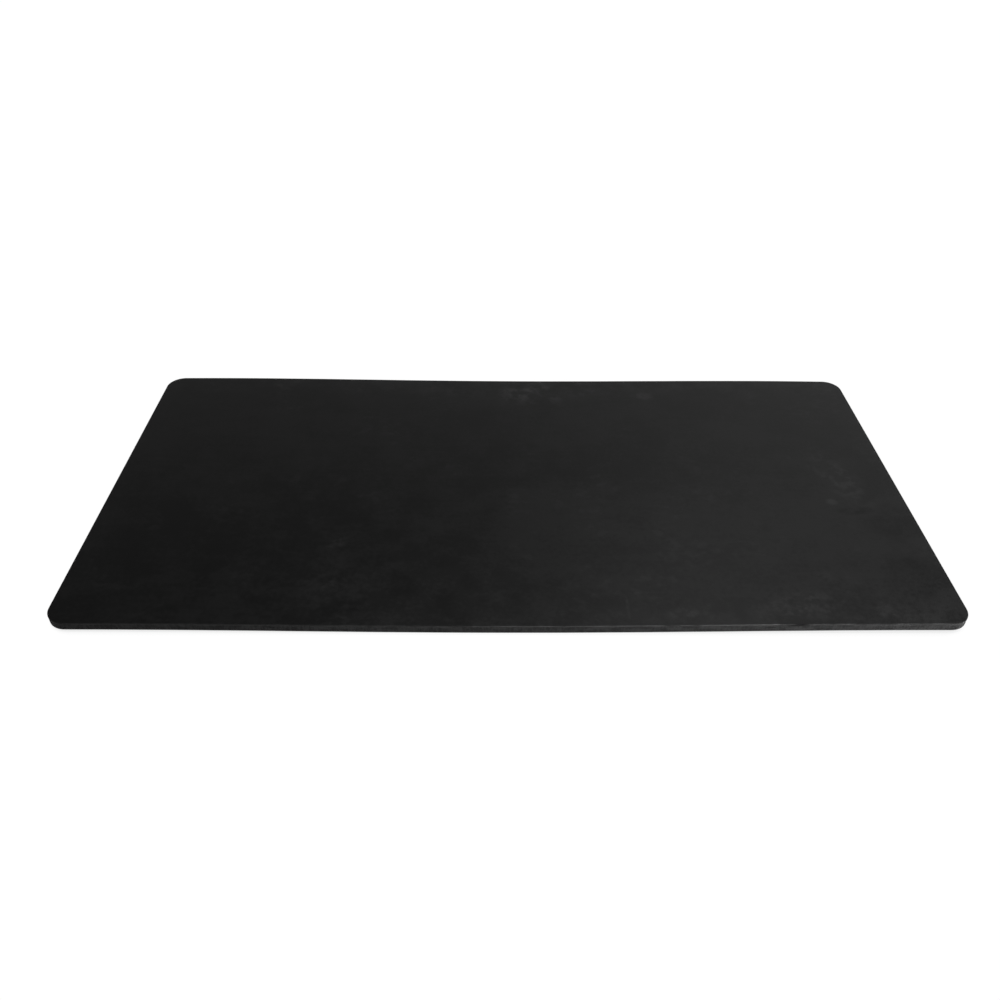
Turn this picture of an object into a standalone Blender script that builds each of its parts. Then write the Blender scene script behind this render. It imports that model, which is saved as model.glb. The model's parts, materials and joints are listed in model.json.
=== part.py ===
"""Self-healing cutting mat for leather work: five sheets pressed into one slab, cut with rounded corners.

The frame is +Z up with its origin at the middle of the underside. The long side runs along X.
Lengths are in metres.
"""

import bmesh
import bpy
from mathutils import Vector

# Driving dimensions
LENGTH = 0.6096  # along X, 24 in
WIDTH = 0.3048  # along Y, 12 in
CORNER_RADIUS = 0.014  # corners of the outline
CORNER_SEGMENTS = 16  # facets in each corner

HEALING_GAUGE = 0.0016  # soft sheet that the blade enters, one on each side
FIRM_GAUGE = 0.0006  # firm sheet under each soft one, which stops the blade
CORE_GAUGE = 0.00075  # middle sheet, which keeps the slab flat
SEAM = 0.0003  # clearance between one sheet and the next

ARRIS_RADIUS = 0.0005  # eased edge round each working face
ARRIS_SEGMENTS = 4  # facets across the eased edge

ROUND_PROFILE = 0.5  # a bevel of this profile is a quarter of a circle
CREASE = 0.6  # radians between two faces, past which their shading doesn't blend

# The sheets from the bench upwards: name, gauge, material, which face has the eased edge
SHEETS = (
    ("bottom_healing_sheet", HEALING_GAUGE, "healing_vinyl", -1),
    ("lower_firm_sheet", FIRM_GAUGE, "firm_vinyl", 0),
    ("core_sheet", CORE_GAUGE, "core_vinyl", 0),
    ("upper_firm_sheet", FIRM_GAUGE, "firm_vinyl", 0),
    ("top_healing_sheet", HEALING_GAUGE, "healing_vinyl", 1),
)

# Finish of each compound: linear colour and roughness
FINISHES = {
    "healing_vinyl": ((0.013, 0.013, 0.013), 0.55),
    "firm_vinyl": ((0.016, 0.016, 0.016), 0.45),
    "core_vinyl": ((0.011, 0.011, 0.011), 0.50),
}


def clear_scene():
    for obj in list(bpy.data.objects):
        bpy.data.objects.remove(obj)


def make_material(name):
    colour, roughness = FINISHES[name]
    material = bpy.data.materials.new(name)
    material.use_nodes = True
    shader = material.node_tree.nodes["Principled BSDF"]
    shader.inputs["Base Color"].default_value = (*colour, 1.0)
    shader.inputs["Roughness"].default_value = roughness
    shader.inputs["Metallic"].default_value = 0.0
    return material


def upright_edges(mesh):
    """The edges of a block centred on z = 0 that run from its underside to its top."""
    return [edge for edge in mesh.edges if edge.verts[0].co.z * edge.verts[1].co.z < 0]


def rim_edges(mesh, side):
    """The outline of its top face (side 1) or of its underside (side -1)."""
    return [edge for edge in mesh.edges if all(vert.co.z * side > 0 for vert in edge.verts)]


def make_sheet(name, gauge, material, eased_side):
    """One sheet: a flat block with its upright corners rounded, and one rim eased where a hand meets it."""
    mesh = bmesh.new()
    bmesh.ops.create_cube(mesh, size=1.0)
    bmesh.ops.scale(mesh, vec=Vector((LENGTH, WIDTH, gauge)), verts=mesh.verts)
    bmesh.ops.bevel(
        mesh,
        geom=upright_edges(mesh),
        offset=CORNER_RADIUS,
        segments=CORNER_SEGMENTS,
        profile=ROUND_PROFILE,
        affect="EDGES",
    )
    if eased_side:
        bmesh.ops.bevel(
            mesh,
            geom=rim_edges(mesh, eased_side),
            offset=min(ARRIS_RADIUS, gauge / 2),
            segments=ARRIS_SEGMENTS,
            profile=ROUND_PROFILE,
            affect="EDGES",
        )
    bmesh.ops.recalc_face_normals(mesh, faces=mesh.faces)
    data = bpy.data.meshes.new(name)
    mesh.to_mesh(data)
    mesh.free()
    data.shade_smooth()
    data.set_sharp_from_angle(angle=CREASE)
    data.materials.append(material)
    sheet = bpy.data.objects.new(name, data)
    bpy.context.scene.collection.objects.link(sheet)
    return sheet


def build_mat():
    """Stacks the sheets from the bench upwards, each one clearance above the last."""
    materials = {name: make_material(name) for name in FINISHES}
    level = 0.0
    for name, gauge, compound, eased_side in SHEETS:
        sheet = make_sheet(name, gauge, materials[compound], eased_side)
        sheet.location.z = level + gauge / 2
        level += gauge + SEAM


clear_scene()
build_mat()
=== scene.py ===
"""Black self-healing cutting mat for leather work: five vinyl sheets fused into one slab.

The file follows the mat as it is laid up, from the bench upwards: bottom healing sheet, lower firm
sheet, core sheet, upper firm sheet and top healing sheet. Then come the lie of the slab, the floor,
the light and the camera. Lengths are in metres.
"""

import json
import math

import bmesh
import bpy
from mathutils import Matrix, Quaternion, Vector


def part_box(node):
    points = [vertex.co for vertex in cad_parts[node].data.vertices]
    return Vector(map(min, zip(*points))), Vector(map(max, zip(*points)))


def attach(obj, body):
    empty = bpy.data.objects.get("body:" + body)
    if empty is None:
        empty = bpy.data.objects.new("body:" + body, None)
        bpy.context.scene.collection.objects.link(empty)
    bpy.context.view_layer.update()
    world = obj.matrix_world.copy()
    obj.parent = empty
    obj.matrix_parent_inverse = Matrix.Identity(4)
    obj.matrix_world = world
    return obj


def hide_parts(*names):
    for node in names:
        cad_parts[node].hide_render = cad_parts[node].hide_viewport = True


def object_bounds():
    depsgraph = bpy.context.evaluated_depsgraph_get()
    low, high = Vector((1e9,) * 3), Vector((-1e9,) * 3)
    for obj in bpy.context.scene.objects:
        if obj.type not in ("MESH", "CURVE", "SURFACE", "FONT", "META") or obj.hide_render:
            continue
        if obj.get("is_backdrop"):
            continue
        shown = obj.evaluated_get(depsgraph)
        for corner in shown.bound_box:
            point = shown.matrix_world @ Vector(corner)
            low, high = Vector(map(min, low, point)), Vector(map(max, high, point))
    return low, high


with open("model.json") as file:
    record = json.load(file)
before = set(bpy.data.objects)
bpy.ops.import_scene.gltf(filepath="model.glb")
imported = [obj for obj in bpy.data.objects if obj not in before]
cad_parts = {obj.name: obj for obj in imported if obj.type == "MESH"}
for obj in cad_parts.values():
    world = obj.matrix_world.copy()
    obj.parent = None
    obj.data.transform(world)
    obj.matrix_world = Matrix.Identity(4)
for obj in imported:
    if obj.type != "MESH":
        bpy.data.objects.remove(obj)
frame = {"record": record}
cad_low, cad_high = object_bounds()


# ---- Bottom healing sheet ------------------------------------------------------------------------
# The soft face that lies on the bench: black plasticised vinyl, calendered, about 1.75 mm thick once
# fused. The lay-up is pressed hot and die-cut to outline as one, and the cutting rule draws the outer
# rim down to a radius.

CORNER_RADIUS = 0.014
CORNER_STEPS = 24
RIM_RADIUS = 0.0005
RIM_STEPS = 5
ROUND_PROFILE = 0.5  # a bevel of this profile is a quarter of a circle
PLY_BREAK = 0.00004  # the worn corner of a sheet where it ends at the next

ROLL_LOOPS = ((0.0008, 0.00001), (0.0022, 0.00002), (0.006, 0.00003))  # inset and rise of each loop
CELLS_ALONG = 56
CELLS_ACROSS = 28
FUSED_GAP = 0.00001  # hairline between fused sheets
LEVEL_SLACK = 0.000002  # two heights closer than this are the same


def fused_levels(node, below=None, above=None):
    """Underside and top of a sheet once fused: it meets each neighbour halfway across the gap."""
    low, high = (corner.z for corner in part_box(node))
    if below:
        low = (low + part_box(below)[1].z + FUSED_GAP) / 2
    if above:
        high = (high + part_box(above)[0].z - FUSED_GAP) / 2
    return low, high


def pick(sheet, wanted, kind="EDGE"):
    """Selects just the edges or faces for which wanted is true. The sheet is in edit mode."""
    bpy.ops.mesh.select_mode(type=kind)
    bpy.ops.mesh.select_all(action="DESELECT")
    mesh = bmesh.from_edit_mesh(sheet.data)
    for element in mesh.edges if kind == "EDGE" else mesh.faces:
        element.select_set(wanted(element))
    bmesh.update_edit_mesh(sheet.data)


def lies_at(level):
    """A test for edges and faces that lie flat at this height."""
    return lambda element: all(abs(vert.co.z - level) < LEVEL_SLACK for vert in element.verts)


def cut_blank(name, low, high, set_back):
    """A flat sheet in the mat's outline, less the set-back, left in edit mode."""
    length = cad_high.x - cad_low.x - 2 * set_back
    width = cad_high.y - cad_low.y - 2 * set_back
    bpy.ops.object.select_all(action="DESELECT")
    bpy.ops.mesh.primitive_cube_add(
        size=1, location=(0, 0, (low + high) / 2), scale=(length, width, high - low)
    )
    sheet = bpy.context.object
    sheet.name = name
    bpy.ops.object.transform_apply(location=True, rotation=True, scale=True)
    bpy.ops.object.mode_set(mode="EDIT")
    pick(sheet, lambda edge: abs(edge.verts[0].co.z - edge.verts[1].co.z) > LEVEL_SLACK)
    bpy.ops.mesh.bevel(
        offset=CORNER_RADIUS - set_back, segments=CORNER_STEPS, profile=ROUND_PROFILE, affect="EDGES"
    )
    return sheet


def ease_rim(sheet, level, radius, steps=1):
    """Rounds the outline edge at this height."""
    pick(sheet, lies_at(level))
    bpy.ops.mesh.bevel(offset=radius, segments=steps, profile=ROUND_PROFILE, affect="EDGES")


def roll_over(sheet, level, outward):
    """Loops inside the rim, each stepped out from the last, so that the face rolls over there."""
    pick(sheet, lies_at(level), "FACE")
    for inset, rise in ROLL_LOOPS:
        bpy.ops.mesh.inset(thickness=inset)
        bpy.ops.transform.translate(value=(0, 0, rise * outward))


def cut_cells(sheet):
    """Cuts the sheet into cells along and across, from one round corner to the next."""
    for axis, cells in ((0, CELLS_ALONG), (1, CELLS_ACROSS)):
        normal = Vector((axis == 0, axis == 1, 0))
        start = cad_low[axis] + CORNER_RADIUS
        step = (cad_high[axis] - cad_low[axis] - 2 * CORNER_RADIUS) / cells
        for cut in range(cells + 1):
            bpy.ops.mesh.select_all(action="SELECT")
            bpy.ops.mesh.bisect(plane_co=normal * (start + cut * step), plane_no=normal)
    bpy.ops.mesh.normals_make_consistent(inside=False)
    bpy.ops.object.mode_set(mode="OBJECT")


WAVE_LENGTH = 0.05
WAVE_DEPTH = 0.00006


def press_waves(sheet, level):
    """The face at this height follows the press plate, which leaves shallow hollows in it."""
    flat = [vert.index for vert in sheet.data.vertices if abs(vert.co.z - level) < LEVEL_SLACK]
    face = sheet.vertex_groups.new(name="face")
    face.add(flat, 1, "REPLACE")
    waves = bpy.data.textures.new("press_waves", "CLOUDS")
    waves.noise_scale = WAVE_LENGTH
    displace = sheet.modifiers.new("press_waves", "DISPLACE")
    displace.texture = waves
    displace.direction = "Z"
    displace.mid_level = 0
    displace.strength = WAVE_DEPTH
    displace.vertex_group = face.name
    bpy.ops.object.modifier_apply(modifier=displace.name)
    sheet.vertex_groups.clear()


def feed(tree, socket, value):
    """Links a socket to another node's output, or sets it to a plain value."""
    if isinstance(value, bpy.types.NodeSocket):
        tree.links.new(value, socket)
    else:
        socket.default_value = value


def place(tree, kind, inputs, **settings):
    """A node with its settings, and its inputs fed by name or number."""
    node = tree.nodes.new(kind)
    for name, value in settings.items():
        setattr(node, name, value)
    for socket, value in inputs.items():
        feed(tree, node.inputs[socket], value)
    return node


def work_out(tree, operation, *values):
    """The output of a Math node on these values."""
    return place(tree, "ShaderNodeMath", dict(enumerate(values)), operation=operation).outputs["Value"]


def vector_math(tree, operation, *values):
    """The outputs of a Vector Math node on these values."""
    return place(tree, "ShaderNodeVectorMath", dict(enumerate(values)), operation=operation).outputs


def blend(tree, factor, first, second):
    """The first value where the factor is 0, the second where it is 1."""
    return place(tree, "ShaderNodeMix", {"Factor": factor, "A": first, "B": second}).outputs["Result"]


def ramp(tree, value, low, high, to_low=0.0, to_high=1.0):
    """Turns a value between low and high smoothly into one between to_low and to_high, and holds it."""
    inputs = {"Value": value, "From Min": low, "From Max": high, "To Min": to_low, "To Max": to_high}
    node = place(tree, "ShaderNodeMapRange", inputs, interpolation_type="SMOOTHSTEP")
    return node.outputs["Result"]


NOISE_ROUGHNESS = 0.55
DETAIL = 2.0
FINE_DETAIL = 3.0


def noise(tree, place_at, blobs, detail=DETAIL, stretch=(1, 1, 1)):
    """Noise of about 0 to 1 with this many blobs to a metre, on coordinates scaled by axis."""
    mapping = place(tree, "ShaderNodeMapping", {"Vector": place_at, "Scale": stretch})
    inputs = {"Vector": mapping.outputs["Vector"], "Scale": blobs, "Detail": detail}
    node = place(tree, "ShaderNodeTexNoise", {**inputs, "Roughness": NOISE_ROUGHNESS})
    return node.outputs["Fac"]


ZERO = (0.0, 0.0, 0.0)
AT_POSITION = (("Position", "NodeSocketVector", ZERO),)


def new_group(name, inputs, outputs):
    """A node group with named sockets, and its input and output nodes."""
    group = bpy.data.node_groups.new(name, "ShaderNodeTree")
    for label, kind, value in inputs:
        group.interface.new_socket(label, in_out="INPUT", socket_type=kind).default_value = value
    for label in outputs:
        group.interface.new_socket(label, in_out="OUTPUT", socket_type="NodeSocketFloat")
    return group, group.nodes.new("NodeGroupInput").outputs, group.nodes.new("NodeGroupOutput").inputs


def use_group(tree, group, **values):
    """Places a group in a material. In the names of its inputs, underscores stand for spaces."""
    inputs = {name.replace("_", " "): value for name, value in values.items()}
    return place(tree, "ShaderNodeGroup", inputs, node_tree=group).outputs


# How far a point on the face lies in from the rim: the distance to a rectangle with rounded corners.
rim_distance, given, result = new_group(
    "rim_distance",
    (
        *AT_POSITION,
        ("Half Length", "NodeSocketFloat", cad_high.x),
        ("Half Width", "NodeSocketFloat", cad_high.y),
        ("Corner Radius", "NodeSocketFloat", CORNER_RADIUS),
    ),
    ("Distance",),
)
axes = place(rim_distance, "ShaderNodeSeparateXYZ", {"Vector": given["Position"]}).outputs
beyond = []
for axis, half in (("X", "Half Length"), ("Y", "Half Width")):
    straight = work_out(rim_distance, "SUBTRACT", given[half], given["Corner Radius"])
    reach = work_out(rim_distance, "ABSOLUTE", axes[axis])
    beyond.append(work_out(rim_distance, "SUBTRACT", reach, straight))
past = [work_out(rim_distance, "MAXIMUM", value, 0.0) for value in beyond]
corner = place(rim_distance, "ShaderNodeCombineXYZ", {"X": past[0], "Y": past[1]}).outputs["Vector"]
outside = vector_math(rim_distance, "LENGTH", corner)["Value"]
nearest = work_out(rim_distance, "MAXIMUM", beyond[0], beyond[1])
inside = work_out(rim_distance, "MINIMUM", nearest, 0.0)
from_arc = work_out(rim_distance, "ADD", outside, inside)
inward = work_out(rim_distance, "SUBTRACT", given["Corner Radius"], from_arc)
feed(rim_distance, result["Distance"], inward)

# Calendered vinyl is never one even black: broad streaks along the roll, with smaller clouds, fine
# streaks and flecks. Here and there handling has left a loose cluster of small rubbed patches.
# Blobs to a metre, detail, scale by axis, share
CLOUD_LAYERS = (
    (11, DETAIL, (0.5, 1, 1), 0.3),
    (55, 4.0, (0.8, 1, 1), 0.3),
    (160, DETAIL, (0.12, 1, 1), 0.12),
    (330, DETAIL, (1, 1, 1), 0.28),
)
TONE_RANGE = (0.4, 0.6)  # the noise that becomes the darkest and the lightest tone
CLUSTERS = 22  # to a metre
CLUSTER_RANGE = (0.5, 0.64)
PATCHES = 160  # to a metre
PATCH_RANGE = (0.5, 0.66)
PATCH_STRETCH = (0.7, 1, 1)

press_cloud, given, result = new_group("press_cloud", AT_POSITION, ("Tone", "Rubs"))
mixed = 0.0
for blobs, detail, stretch, share in CLOUD_LAYERS:
    layer = noise(press_cloud, given["Position"], blobs, detail, stretch)
    mixed = work_out(press_cloud, "MULTIPLY_ADD", layer, share, mixed)
feed(press_cloud, result["Tone"], ramp(press_cloud, mixed, *TONE_RANGE))
clusters = ramp(press_cloud, noise(press_cloud, given["Position"], CLUSTERS), *CLUSTER_RANGE)
spots = noise(press_cloud, given["Position"], PATCHES, FINE_DETAIL, PATCH_STRETCH)
patches = ramp(press_cloud, spots, *PATCH_RANGE)
feed(press_cloud, result["Rubs"], work_out(press_cloud, "MULTIPLY", clusters, patches))

# The fine matt grain that the press plate leaves: pits a third of a millimetre across, and dimples.
PITS = 2600  # to a metre
DIMPLES = 650  # to a metre
DIMPLE_SHARE = 0.8

plate_grain, given, result = new_group("plate_grain", AT_POSITION, ("Height",))
pits = noise(plate_grain, given["Position"], PITS)
dimples = noise(plate_grain, given["Position"], DIMPLES)
both = work_out(plate_grain, "MULTIPLY_ADD", dimples, DIMPLE_SHARE, pits)
feed(plate_grain, result["Height"], both)

# The die leaves upright drag lines on the cut wall, and lumps where the vinyl tore rather than parted.
DRAG_LINES = 1100  # to a metre
DRAG_STRETCH = (1, 1, 0.25)
LUMPS = 300  # to a metre
LUMP_STRETCH = (0.22, 0.22, 1)
LUMP_HEIGHT = 2.0  # times a drag line's
WALL_HEIGHT = 3.0  # times the grain's
WALL_TONE_RANGE = (0.36, 0.64)

cut_wall, given, result = new_group("cut_wall", AT_POSITION, ("Height", "Tone"))
drag = noise(cut_wall, given["Position"], DRAG_LINES, DETAIL, DRAG_STRETCH)
lumps = noise(cut_wall, given["Position"], LUMPS, FINE_DETAIL, LUMP_STRETCH)
torn = work_out(cut_wall, "MULTIPLY_ADD", lumps, LUMP_HEIGHT, drag)
feed(cut_wall, result["Height"], work_out(cut_wall, "MULTIPLY", torn, WALL_HEIGHT))
middling = work_out(cut_wall, "MULTIPLY_ADD", lumps, 0.5, work_out(cut_wall, "MULTIPLY", drag, 0.5))
feed(cut_wall, result["Tone"], ramp(cut_wall, middling, *WALL_TONE_RANGE))

# A mark: a soft patch with a broken edge, where the vinyl has been rubbed or has picked up dirt.
MARK_CORE = 0.35  # share of the half size at which it starts to fade
BROKEN_RANGE = (0.46, 0.62)

mark, given, result = new_group(
    "mark",
    (
        *AT_POSITION,
        ("Middle", "NodeSocketVector", ZERO),
        ("Half Size", "NodeSocketVector", (0.01, 0.01, 1.0)),
        ("Turn", "NodeSocketFloat", 0.0),
        ("Blobs", "NodeSocketFloat", 100.0),
        ("Cover", "NodeSocketFloat", 0.0),
    ),
    ("Mask",),
)
turned = place(
    mark,
    "ShaderNodeVectorRotate",
    {"Vector": given["Position"], "Center": given["Middle"], "Angle": given["Turn"]},
    rotation_type="Z_AXIS",
).outputs["Vector"]
away = vector_math(mark, "SUBTRACT", turned, given["Middle"])["Vector"]
spread = vector_math(mark, "DIVIDE", away, given["Half Size"])["Vector"]
fade = ramp(mark, vector_math(mark, "LENGTH", spread)["Value"], MARK_CORE, 1.0, 1.0, 0.0)
blots = noise(mark, given["Position"], given["Blobs"], FINE_DETAIL)
broken = ramp(mark, work_out(mark, "ADD", blots, given["Cover"]), *BROKEN_RANGE)
feed(mark, result["Mask"], work_out(mark, "MULTIPLY", fade, broken))

# Dust: specks of half a millimetre, thinly scattered.
DUST_CELLS = 90  # to a metre
SPECK_CORE = 0.012  # in cells
SPECK_RADIUS = 0.03
EMPTY_CELLS = 0.8  # share of the cells with no speck

dust_specks, given, result = new_group("dust_specks", AT_POSITION, ("Mask",))
cell_inputs = {"Vector": given["Position"], "Scale": DUST_CELLS}
cells = place(dust_specks, "ShaderNodeTexVoronoi", cell_inputs).outputs
speck = ramp(dust_specks, cells["Distance"], SPECK_CORE, SPECK_RADIUS, 1.0, 0.0)
chance = place(dust_specks, "ShaderNodeSeparateXYZ", {"Vector": cells["Color"]}).outputs["X"]
chosen = work_out(dust_specks, "GREATER_THAN", chance, EMPTY_CELLS)
feed(dust_specks, result["Mask"], work_out(dust_specks, "MULTIPLY", speck, chosen))

black = {row["slot"]: row["base_color"] for row in frame["record"]["materials"]}
WALL_EDGE = 0.00004  # from the cut wall to where the eased rim takes the grain of the face
EDGE_HIGHLIGHT_REACH = 0.0008  # from the cut wall to where the painted highlight on the eased edge ends
RIM_SHEEN_REACH = 0.024  # a painted sheen lightens the face along the rim, and fades out this far in
# What each adds to the shade, where 1 is the vinyl's own black
RUBBED = 0.5
# Painted sheen along the rim
RIM_SHEEN = 0.1
# Painted highlight on the eased edge
EDGE_HIGHLIGHT = 0.7
DUSTY = 2.5
# From where the tone is darkest to where it is lightest
FACE_SHADE = (0.72, 1.28)
FACE_ROUGHNESS = (0.38, 0.42)
WALL_SHADE = (0.45, 1.65)
WALL_ROUGHNESS = (0.44, 0.36)
DARK_PATCH_SHADE = 0.25
DARK_PATCH_ROUGHNESS = 0.75
GRAIN_DEPTH = 0.00002


def tinted(tree, colour, strength):
    """A colour times a value that varies over the surface."""
    return vector_math(tree, "MULTIPLY", colour, strength)["Vector"]


def grained(tree, height):
    """The surface's normals, roughened by this height."""
    return place(tree, "ShaderNodeBump", {"Height": height, "Distance": GRAIN_DEPTH}).outputs["Normal"]


def place_mark(tree, position, middle, half_size, turn, blobs, cover):
    """The mask of a mark, from its middle, half size, turn, blobs to a metre and their cover."""
    lie = {"Position": position, "Middle": middle, "Half_Size": half_size, "Turn": turn}
    return use_group(tree, mark, **lie, Blobs=blobs, Cover=cover)["Mask"]


def healing_vinyl(name, face_marks, dark_patches):
    """Soft black vinyl, with marks that change the shade of its face, a painted sheen along its rim, a
    painted highlight on its eased edge, and dark dull patches on its wall.
    """
    material = bpy.data.materials.new(name)
    material.use_nodes = True
    tree = material.node_tree
    shader = tree.nodes["Principled BSDF"].inputs
    position = place(tree, "ShaderNodeTexCoord", {}).outputs["Object"]
    distance = use_group(tree, rim_distance, Position=position)["Distance"]
    cloud = use_group(tree, press_cloud, Position=position)
    wall = use_group(tree, cut_wall, Position=position)
    dust = use_group(tree, dust_specks, Position=position)["Mask"]
    grain = use_group(tree, plate_grain, Position=position)["Height"]
    on_wall = ramp(tree, distance, WALL_EDGE / 2, WALL_EDGE, 1.0, 0.0)

    shade = ramp(tree, cloud["Tone"], 0.0, 1.0, *FACE_SHADE)
    shade = work_out(tree, "MULTIPLY_ADD", cloud["Rubs"], RUBBED, shade)
    # Painted sheen: the face is lighter towards the rim
    shade = work_out(tree, "ADD", shade, ramp(tree, distance, 0.0, RIM_SHEEN_REACH, RIM_SHEEN, 0.0))
    # Painted highlight: the eased edge of the face is lighter
    shade = work_out(tree, "ADD", shade, ramp(tree, distance, EDGE_HIGHLIGHT_REACH / 2, EDGE_HIGHLIGHT_REACH, EDGE_HIGHLIGHT, 0.0))
    shade = work_out(tree, "MULTIPLY_ADD", dust, DUSTY, shade)
    for *lie, change in face_marks:
        factor = work_out(tree, "MULTIPLY_ADD", place_mark(tree, position, *lie), change, 1.0)
        shade = work_out(tree, "MULTIPLY", shade, factor)
    roughness = ramp(tree, cloud["Tone"], 0.0, 1.0, *FACE_ROUGHNESS)

    wall_shade = ramp(tree, wall["Tone"], 0.0, 1.0, *WALL_SHADE)
    wall_roughness = ramp(tree, wall["Tone"], 0.0, 1.0, *WALL_ROUGHNESS)
    # Dark, dull patches on the wall
    for lie in dark_patches:
        dark_patch = place_mark(tree, position, *lie)
        wall_shade = blend(tree, dark_patch, wall_shade, DARK_PATCH_SHADE)
        wall_roughness = blend(tree, dark_patch, wall_roughness, DARK_PATCH_ROUGHNESS)

    shade = blend(tree, on_wall, shade, wall_shade)
    feed(tree, shader["Base Color"], tinted(tree, black["healing_vinyl"], shade))
    feed(tree, shader["Roughness"], blend(tree, on_wall, roughness, wall_roughness))
    feed(tree, shader["Normal"], grained(tree, blend(tree, on_wall, grain, wall["Height"])))
    return material


low, high = fused_levels("bottom_healing_sheet", above="lower_firm_sheet")
roll = sum(rise for inset, rise in ROLL_LOOPS)
bottom_sheet = cut_blank("bottom_healing_vinyl_sheet", low + roll, high, 0)
ease_rim(bottom_sheet, low + roll, RIM_RADIUS, RIM_STEPS)
roll_over(bottom_sheet, low + roll, -1)
ease_rim(bottom_sheet, high, PLY_BREAK)
cut_cells(bottom_sheet)
press_waves(bottom_sheet, low)
bottom_sheet.data.materials.append(healing_vinyl("bottom_healing_vinyl", (), ()))
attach(bottom_sheet, "root")
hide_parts("bottom_healing_sheet")


# ---- Lower firm sheet ----------------------------------------------------------------------------
# A harder vinyl, 0.9 mm thick, that stops the blade before it goes through. It is fused to the soft
# sheet below it. The die cuts it cleanly, so its wall stands a hair inside the soft sheets, which
# spread as they are cut.

FIRM_SET_BACK = 0.00006
FIRM_ROUGHNESS = 0.45
FIRM_SPECULAR = 0.38
INNER_SPREAD = 0.04  # of the roughness, to each side


def inner_vinyl(slot, roughness, specular):
    """The hard vinyl of an inner sheet, of which only the cut wall shows."""
    material = bpy.data.materials.new(slot)
    material.use_nodes = True
    tree = material.node_tree
    shader = tree.nodes["Principled BSDF"].inputs
    position = place(tree, "ShaderNodeTexCoord", {}).outputs["Object"]
    wall = use_group(tree, cut_wall, Position=position)
    shade = ramp(tree, wall["Tone"], 0.0, 1.0, *WALL_SHADE)
    rough = ramp(tree, wall["Tone"], 0.0, 1.0, roughness + INNER_SPREAD, roughness - INNER_SPREAD)
    shader["Specular IOR Level"].default_value = specular
    feed(tree, shader["Base Color"], tinted(tree, black[slot], shade))
    feed(tree, shader["Roughness"], rough)
    feed(tree, shader["Normal"], grained(tree, wall["Height"]))
    return material


low, high = fused_levels("lower_firm_sheet", "bottom_healing_sheet", "core_sheet")
lower_firm = cut_blank("lower_firm_vinyl_sheet", low, high, FIRM_SET_BACK)
ease_rim(lower_firm, low, PLY_BREAK)
ease_rim(lower_firm, high, PLY_BREAK)
cut_cells(lower_firm)
lower_firm.data.materials.append(inner_vinyl("firm_vinyl", FIRM_ROUGHNESS, FIRM_SPECULAR))
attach(lower_firm, "root")
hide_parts("lower_firm_sheet")


# ---- Core sheet ----------------------------------------------------------------------------------
# The middle of the lay-up: the stiffest vinyl, about 1 mm thick, which keeps the slab flat on the
# bench. It is fused to the firm sheet on each side.

CORE_SET_BACK = 0.00003
CORE_ROUGHNESS = 0.5
CORE_SPECULAR = 0.54

low, high = fused_levels("core_sheet", "lower_firm_sheet", "upper_firm_sheet")
core = cut_blank("core_vinyl_sheet", low, high, CORE_SET_BACK)
ease_rim(core, low, PLY_BREAK)
ease_rim(core, high, PLY_BREAK)
cut_cells(core)
core.data.materials.append(inner_vinyl("core_vinyl", CORE_ROUGHNESS, CORE_SPECULAR))
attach(core, "root")
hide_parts("core_sheet")


# ---- Upper firm sheet ----------------------------------------------------------------------------
# A second length of the hard vinyl below, with the core between them. The lay-up is the same from
# either side, which is what keeps the slab flat as it cools.


def copy_sheet(sheet, name):
    """A second sheet of the same make, with a mesh of its own."""
    bpy.ops.object.select_all(action="DESELECT")
    sheet.select_set(True)
    bpy.context.view_layer.objects.active = sheet
    bpy.ops.object.duplicate()
    copied = bpy.context.object
    copied.name = name
    copied.data.name = name
    return copied


low, high = fused_levels("upper_firm_sheet", "core_sheet", "top_healing_sheet")
upper_firm = copy_sheet(lower_firm, "upper_firm_vinyl_sheet")
upper_firm.location.z = low - min(vert.co.z for vert in lower_firm.data.vertices)
bpy.ops.object.transform_apply(location=True, rotation=True, scale=True)
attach(upper_firm, "root")
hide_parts("upper_firm_sheet")


# ---- Top healing sheet ---------------------------------------------------------------------------
# The face that is cut on: the same soft vinyl as the bottom sheet, turned over, because the mat is
# reversible. It has light scuffs where it has been handled, near the far edge and at the right, and
# a little dirt at the left. A painted sheen lightens its far side and near right, and a painted
# highlight runs along its near edge.

top_sheet = copy_sheet(bottom_sheet, "top_healing_vinyl_sheet")
mid_height = (0, 0, (cad_low.z + cad_high.z) / 2)
bpy.ops.transform.rotate(value=math.pi, orient_axis="X", center_override=mid_height)
bpy.ops.object.transform_apply(location=True, rotation=True, scale=True)

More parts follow.
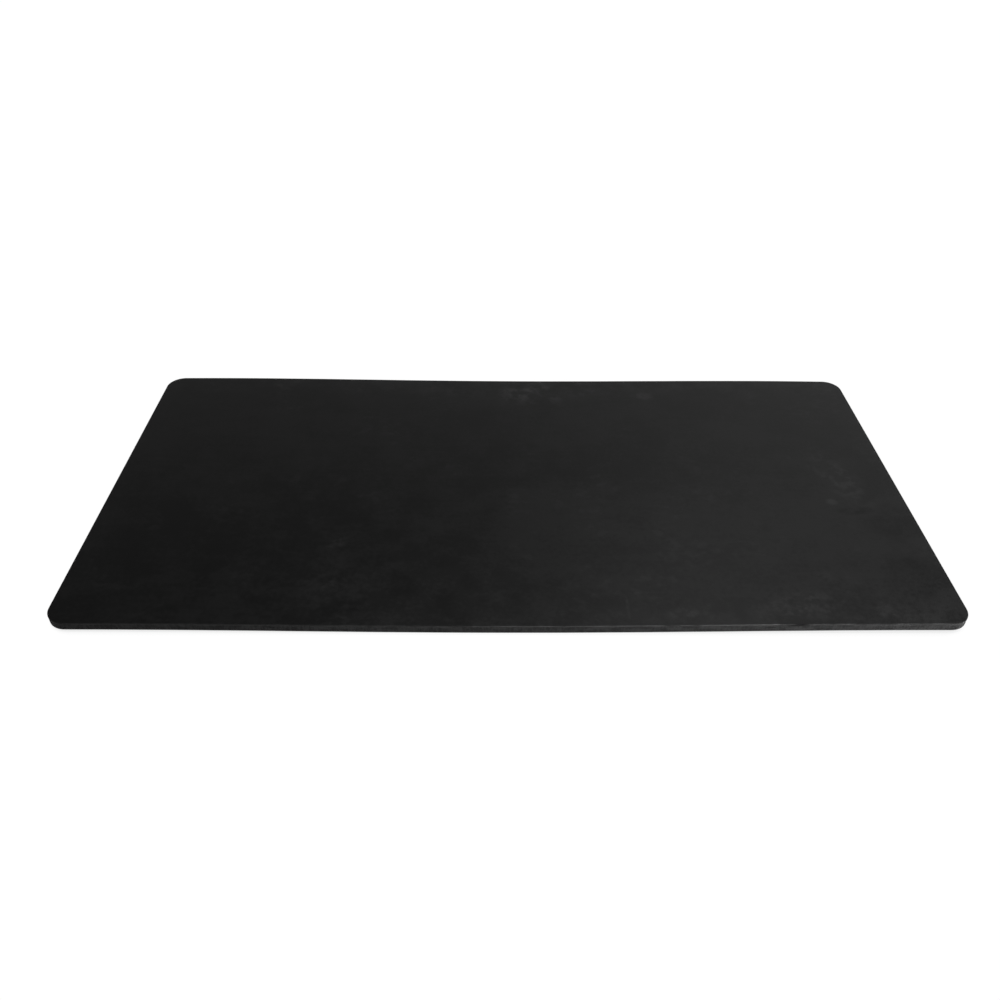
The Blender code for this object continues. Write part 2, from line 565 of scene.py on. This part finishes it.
# Middle, half size, turn, blobs to a metre, cover, change of shade
FACE_MARKS = (
    # Painted sheen along the far side and at the near right
    ((0.0, cad_high.y, 0.007), (0.6, 0.036, 1.0), 0.0, 60.0, 0.08, 0.45),
    ((0.16, cad_low.y, 0.007), (0.32, 0.03, 1.0), 0.0, 60.0, 0.06, 0.35),
    # A painted highlight along the near edge at the right, with a darker spot in it
    ((0.13, cad_low.y, 0.007), (0.21, 0.0009, 1.0), 0.0, 60.0, 0.14, 1.7),
    ((0.189, cad_low.y, 0.007), (0.0095, 0.0009, 1.0), 0.0, 20.0, 0.3, -0.45),
    # A rubbed patch near the far edge
    ((0.025, 0.130, 0.007), (0.044, 0.026, 1.0), 0.0, 90.0, 0.0, 1.25),
    # A paler stretch left of the middle, and a duller one along the right end
    ((-0.080, -0.120, 0.007), (0.12, 0.05, 1.0), 0.0, 40.0, 0.1, 0.4),
    ((0.295, -0.045, 0.007), (0.036, 0.13, 1.0), 0.0, 40.0, 0.06, -0.24),
    # A small rubbed spot near the far edge
    ((0.124, 0.126, 0.007), (0.011, 0.008, 1.0), 0.2, 120.0, 0.1, 1.0),
    # Handled at the right end
    ((0.262, 0.004, 0.007), (0.020, 0.050, 1.0), -0.3, 110.0, 0.0, 0.7),
    ((0.248, -0.025, 0.007), (0.006, 0.005, 1.0), 0.0, 200.0, 0.2, 1.0),
    ((0.262, -0.036, 0.007), (0.022, 0.006, 1.0), -0.1, 60.0, 0.1, -0.5),
    # A nick
    ((-0.124, -0.073, 0.007), (0.012, 0.006, 1.0), -0.6, 200.0, 0.06, 1.0),
    # Mottled patches at the near right
    ((0.200, -0.135, 0.007), (0.034, 0.018, 1.0), 0.0, 200.0, 0.02, 0.7),
    ((0.115, -0.141, 0.007), (0.014, 0.007, 1.0), 0.0, 150.0, 0.08, 0.6),
    # The corner of something that was set down
    ((0.079, -0.135, 0.007), (0.0016, 0.014, 1.0), 0.0, 60.0, 0.15, 0.5),
    ((0.094, -0.1215, 0.007), (0.016, 0.0014, 1.0), 0.0, 60.0, 0.15, 0.4),
    # A long faint darker line, and dirt at the left
    ((-0.100, 0.003, 0.007), (0.200, 0.0022, 1.0), 0.073, 40.0, 0.04, -0.1),
    ((-0.222, -0.105, 0.007), (0.040, 0.040, 1.0), 0.0, 190.0, -0.12, -0.3),
)
# A dark, dull patch on the near wall, under the darker spot on its edge
DARK_WALL_PATCHES = (((0.189, cad_low.y, 0.0072), (0.0105, 0.002, 0.0018), 0.0, 20.0, 0.3),)
top_sheet.data.materials.clear()
top_sheet.data.materials.append(healing_vinyl("top_healing_vinyl", FACE_MARKS, DARK_WALL_PATCHES))
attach(top_sheet, "root")
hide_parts("top_healing_sheet")


# ---- Lie of the slab -----------------------------------------------------------------------------
# The slab keeps a little of the curl of the vinyl roll it was laid up from. Its middle lies on the
# bench and its ends stand up about 2 mm, most of all at the near corners. All five sheets take the
# same bend.

END_LIFT = 0.00221
LIFT_PERIOD = 1.739  # in half lengths
TWIST = 0.00039
NEAR_EXTRA = 0.00076
FORM_ALONG = 13  # points of the form that presses the bend
FORM_ACROSS = 3
SMOOTH_ANGLE = math.radians(30)

bpy.ops.object.select_all(action="DESELECT")
bpy.ops.object.add(type="LATTICE")
press_form = bpy.context.object
press_form.scale = (cad_high.x - cad_low.x, cad_high.y - cad_low.y, 1)
press_form.data.points_u = FORM_ALONG
press_form.data.interpolation_type_u = "KEY_CARDINAL"
press_form.data.points_v = FORM_ACROSS
press_form.data.interpolation_type_v = "KEY_LINEAR"
for point in press_form.data.points:
    along, across = 2 * point.co.x, 2 * point.co.y
    lift = END_LIFT * math.sin(math.pi * along / LIFT_PERIOD) ** 2
    point.co_deform.z += lift - across * (TWIST * along + NEAR_EXTRA * along**2)
for sheet in (bottom_sheet, lower_firm, core, upper_firm, top_sheet):
    bpy.ops.object.select_all(action="DESELECT")
    sheet.select_set(True)
    bpy.context.view_layer.objects.active = sheet
    bend = sheet.modifiers.new("lie", "LATTICE")
    bend.object = press_form
    bpy.ops.object.modifier_apply(modifier=bend.name)
    bpy.ops.object.shade_smooth_by_angle(angle=SMOOTH_ANGLE)
bpy.data.objects.remove(press_form)


# ---- Floor ---------------------------------------------------------------------------------------
# A plain pale table top, which shows as an even white sweep with a thin soft shadow where the mat
# meets it.

FLOOR_SIDE = 12
FLOOR_COLOUR = (0.8, 0.8, 0.8, 1)
SHADOW_REACH = 0.012
SHADOW_WHITE = 0.75
OPEN_WHITE = 1.02
OPEN_SKY = 0.8  # share of the sky a point sees where the shadow ends

bpy.ops.mesh.primitive_plane_add(size=FLOOR_SIDE)
floor = bpy.context.object
floor.name = "floor"
paint = bpy.data.materials.new("floor_paint")
paint.use_nodes = True
tree = paint.node_tree
shader = tree.nodes["Principled BSDF"]
shader.inputs["Base Color"].default_value = FLOOR_COLOUR
shader.inputs["Roughness"].default_value = 1.0
shader.inputs["Specular IOR Level"].default_value = 0.0
nearby = place(tree, "ShaderNodeAmbientOcclusion", {"Distance": SHADOW_REACH}, samples=8)
whiteness = ramp(tree, nearby.outputs["AO"], 0.0, OPEN_SKY, SHADOW_WHITE, OPEN_WHITE)
glow = place(tree, "ShaderNodeEmission", {"Strength": whiteness}).outputs["Emission"]
sees = place(tree, "ShaderNodeLightPath", {}).outputs["Is Camera Ray"]
either = place(tree, "ShaderNodeMixShader", {0: sees, 1: shader.outputs["BSDF"], 2: glow})
feed(tree, tree.nodes["Material Output"].inputs["Surface"], either.outputs["Shader"])
floor.data.materials.append(paint)
floor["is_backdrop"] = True


# ---- Light ---------------------------------------------------------------------------------------
# Soft studio light. Behind the mat stand a row of softboxes, stronger towards the right, and a key box
# above them, with large dim panels at the other three sides. Three small boxes low by the table light
# the cut walls, and are screened so that the vinyl's sheen doesn't show them.

ROOM = (0.046, 0.046, 0.046, 1)
WHITE = (1, 1, 1, 1)
ARC_RADIUS = 2.0
ARC_SIDE = 0.5
ARC_AIM = (0, 0, 0)
# The row from its left end: degrees to the right of straight behind, degrees up, watts
ROW_BOXES = 7
ROW_LEFT = -45
ROW_SPACING = 15
ROW_UP = 22
ROW_DIMMEST = 0.12
ROW_RISE = 0.05
KEY = (25, 52, 1.1)
PANEL_SIDE = 3.0
PANEL_AIM = (0, 0, 0.3)
# Name, where it stands, watts
PANELS = (("front", (0, -3, 1.2), 5.0), ("right", (3, 0, 1.2), 2.5), ("left", (-3, 0, 1.2), 2.5))
LOW_SIDE = 0.3
LOW_AIM = (0.1, -0.1, 0)
# Where it stands, watts
LOW_BOXES = (((0.3, -0.55, 0.3), 2.0), ((0.7, -0.35, 0.2), 3.0), ((0.0, 0.85, 0.15), 1.3))

world = bpy.data.worlds.new("studio")
bpy.context.scene.world = world
world.use_nodes = True
tree = world.node_tree
room = tree.nodes["Background"]
room.inputs["Color"].default_value = ROOM
backdrop = place(tree, "ShaderNodeBackground", {"Color": WHITE}).outputs["Background"]
sees = place(tree, "ShaderNodeLightPath", {}).outputs["Is Camera Ray"]
either = place(tree, "ShaderNodeMixShader", {0: sees, 1: room.outputs["Background"], 2: backdrop})
feed(tree, tree.nodes["World Output"].inputs["Surface"], either.outputs["Shader"])


def softbox(name, at, towards, side, power):
    """A square soft light, seen only by what it lights."""
    lamp = bpy.data.lights.new(name, "AREA")
    lamp.size = side
    lamp.energy = power
    box = bpy.data.objects.new(name, lamp)
    box.location = at
    box.rotation_euler = (Vector(towards) - Vector(at)).to_track_quat("-Z", "Y").to_euler()
    box.visible_camera = False
    bpy.context.scene.collection.objects.link(box)
    return box


row = [(ROW_LEFT + n * ROW_SPACING, ROW_UP, ROW_DIMMEST + n * ROW_RISE) for n in range(ROW_BOXES)]
for number, (to_right, up, power) in enumerate([*row, KEY]):
    swing, tilt = math.radians(to_right), math.radians(up)
    out = Vector((math.sin(swing) * math.cos(tilt), math.cos(swing) * math.cos(tilt), math.sin(tilt)))
    softbox("arc_softbox_%d" % number, ARC_RADIUS * out, ARC_AIM, ARC_SIDE, power)
for name, at, power in PANELS:
    softbox(name + "_panel", at, PANEL_AIM, PANEL_SIDE, power)
for number, (at, power) in enumerate(LOW_BOXES):
    box = softbox("low_softbox_%d" % number, at, LOW_AIM, LOW_SIDE, power)
    box.visible_glossy = False


# ---- Camera --------------------------------------------------------------------------------------
# Stands at the near side, a little left of the middle, and looks down at the mat.

CAMERA_AT = (-0.01300, -0.55443, 0.43882)
PITCH = math.radians(39.040)
YAW = math.radians(0.768)
ROLL = math.radians(0.663)
FOCAL_LENGTH = 32.217
SENSOR_WIDTH = 36
NEAREST = 0.01

lens = bpy.data.cameras.new("camera")
lens.sensor_width = SENSOR_WIDTH
lens.lens = FOCAL_LENGTH
lens.clip_start = NEAREST
camera = bpy.data.objects.new("camera", lens)
camera.rotation_mode = "QUATERNION"
ahead = Vector((math.sin(YAW) * math.cos(PITCH), math.cos(YAW) * math.cos(PITCH), -math.sin(PITCH)))
level_look = ahead.to_track_quat("-Z", "Y")
camera.rotation_quaternion = level_look @ Quaternion((0, 0, 1), ROLL)
camera.location = CAMERA_AT
bpy.context.scene.collection.objects.link(camera)
bpy.context.scene.camera = camera

bpy.context.scene.view_settings.view_transform = "Standard"

low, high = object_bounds()
